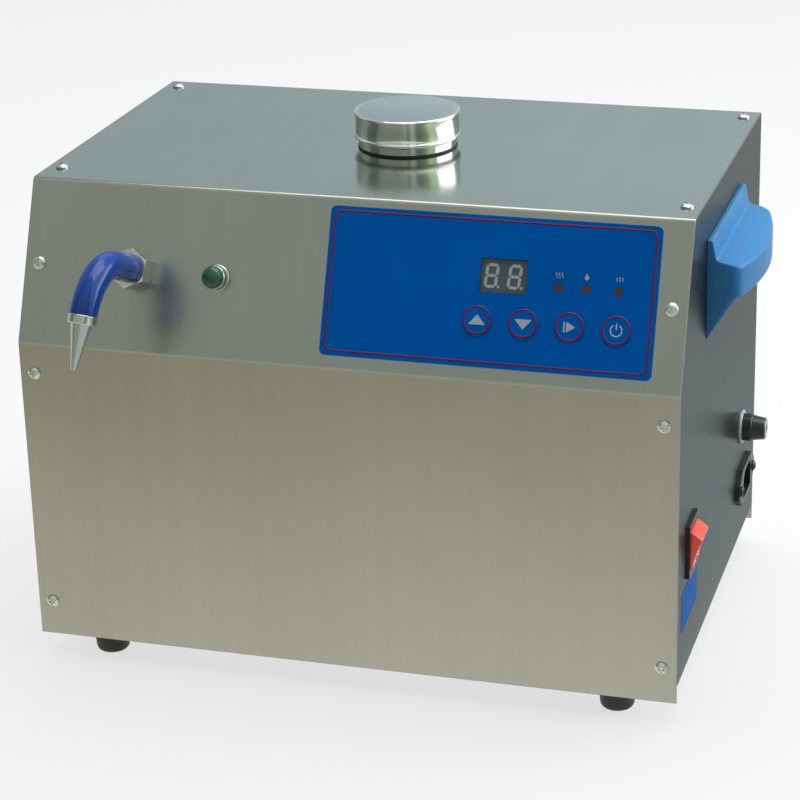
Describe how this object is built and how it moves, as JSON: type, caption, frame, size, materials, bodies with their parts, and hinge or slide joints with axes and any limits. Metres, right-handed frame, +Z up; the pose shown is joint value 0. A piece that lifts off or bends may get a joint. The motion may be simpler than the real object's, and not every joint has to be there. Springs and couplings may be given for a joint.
{
  "type": "jewelry steam cleaner",
  "caption": "Bench-top steam cleaner with a folded steel casing, sloped membrane panel, bent steam nozzle, screwed filler cap, side pulls and rear drain.",
  "frame": {"origin": "on the bench, under the middle of the overall footprint from the nozzle's tip to the drain spout", "axes": "+X to the right seen from the front, +Y to the back, +Z up"},
  "size_m": [0.404, 0.3525, 0.2897],
  "materials": {
    "sheet": "brushed, fine grain",
    "steel": "satin",
    "chrome": "polished",
    "brass": "machined",
    "zinc": "plated",
    "rubber": "matte",
    "silicone": "matte",
    "handle": "moulded, satin",
    "overlay": "printed film, satin",
    "window": "tinted, clear",
    "display": "dark",
    "digit": "unlit segments",
    "led": "dim red",
    "board": "board",
    "lens": "green lens",
    "sleeve": "glossy",
    "black": "moulded",
    "coil": "potted",
    "hose": "insulated hose",
    "rocker": "translucent red",
    "glass": "clear tube",
    "wire": "insulated wire",
    "lever": "dipped",
    "core": "varnished"
  },
  "bodies": {
    "casing": {"chassis": "sheet", "cover": "sheet", "cover_screws": "zinc", "feet": "rubber", "foot_screws": "zinc", "handle_right": "handle", "handle_left": "handle", "handle_screws": "zinc", "overlay": "overlay", "display_window": "window", "display_module": "display", "display_digits": "digit", "indicator_leds": "led", "panel_board": "board", "lamp_bezel": "chrome", "lamp_lens": "lens", "back_nuts": "brass", "nozzle_nut": "zinc", "nozzle_pipe": "steel", "nozzle_sleeve": "sleeve", "nozzle_tip": "chrome", "solenoid_valve": "brass", "solenoid_coil": "coil", "steam_hose": "hose", "steam_elbow": "brass", "boiler": "steel", "boiler_top": "steel", "boiler_skirt": "steel", "skirt_bolts": "zinc", "heater": "brass", "level_probe": "steel", "pressure_switch": "zinc", "safety_valve": "brass", "thermostat": "zinc", "filler_neck": "steel", "neck_gasket": "rubber", "neck_ring": "chrome", "rocker_housing": "black", "fuse_holder": "black", "power_inlet": "black", "inlet_pins": "brass", "inlet_screws": "zinc", "control_board": "board", "standoffs": "zinc", "transformer": "core", "wiring": "wire", "drain_pipe": "steel", "drain_valve": "brass"},
    "cap_gasket": {"cap_gasket": "silicone"},
    "cap_plate": {"seal_plate": "steel"},
    "cap": {"cap_insert": "brass", "cap_shell": "chrome"},
    "rocker": {"rocker": "rocker"},
    "key_up": {"key_up": "overlay"},
    "key_down": {"key_down": "overlay"},
    "key_start": {"key_start": "overlay"},
    "key_power": {"key_power": "overlay"},
    "fuse": {"fuse_cartridge": "glass"},
    "fuse_knob": {"fuse_cap": "black"},
    "drain_lever": {"drain_lever": "lever"}
  },
  "joints": [
    {"name": "cap_lift", "type": "slide", "parent": "casing", "child": "cap_gasket", "axis": [0, 0, 1], "range_m": [0, 0.05]},
    {"name": "cap_rise", "type": "slide", "parent": "cap_gasket", "child": "cap_plate", "axis": [0, 0, 1], "range_m": [0, 0.006]},
    {"name": "cap_turn", "type": "hinge", "parent": "cap_plate", "child": "cap", "pos_m": [0, 0.01924, 0.269], "axis": [0, 0, 1], "range_deg": [0, 720]},
    {"name": "rocker_tilt", "type": "hinge", "parent": "casing", "child": "rocker", "pos_m": [0.178, -0.08051, 0.0899], "axis": [0, -1, 0], "range_deg": [0, 34]},
    {"name": "key_up_press", "type": "slide", "parent": "casing", "child": "key_up", "axis": [0, 0.9206, -0.3905], "range_m": [0, 0.0005], "stiffness_N_per_m": 800},
    {"name": "key_down_press", "type": "slide", "parent": "casing", "child": "key_down", "axis": [0, 0.9206, -0.3905], "range_m": [0, 0.0005], "stiffness_N_per_m": 800},
    {"name": "key_start_press", "type": "slide", "parent": "casing", "child": "key_start", "axis": [0, 0.9206, -0.3905], "range_m": [0, 0.0005], "stiffness_N_per_m": 800},
    {"name": "key_power_press", "type": "slide", "parent": "casing", "child": "key_power", "axis": [0, 0.9206, -0.3905], "range_m": [0, 0.0005], "stiffness_N_per_m": 800},
    {"name": "fuse_pull", "type": "slide", "parent": "casing", "child": "fuse", "axis": [1, 0, 0], "range_m": [0, 0.03]},
    {"name": "fuse_turn", "type": "hinge", "parent": "fuse", "child": "fuse_knob", "pos_m": [0.18, 0.07824, 0.093], "axis": [1, 0, 0], "range_deg": [-90, 0]},
    {"name": "drain_open", "type": "hinge", "parent": "casing", "child": "drain_lever", "pos_m": [0, 0.15324, 0.0552], "axis": [0, 0, 1], "range_deg": [0, 90]}
  ],
  "couplings": [
    {"joint": "cap_rise", "follows": "cap_turn", "m_per_rad": 0.00047746}
  ]
}
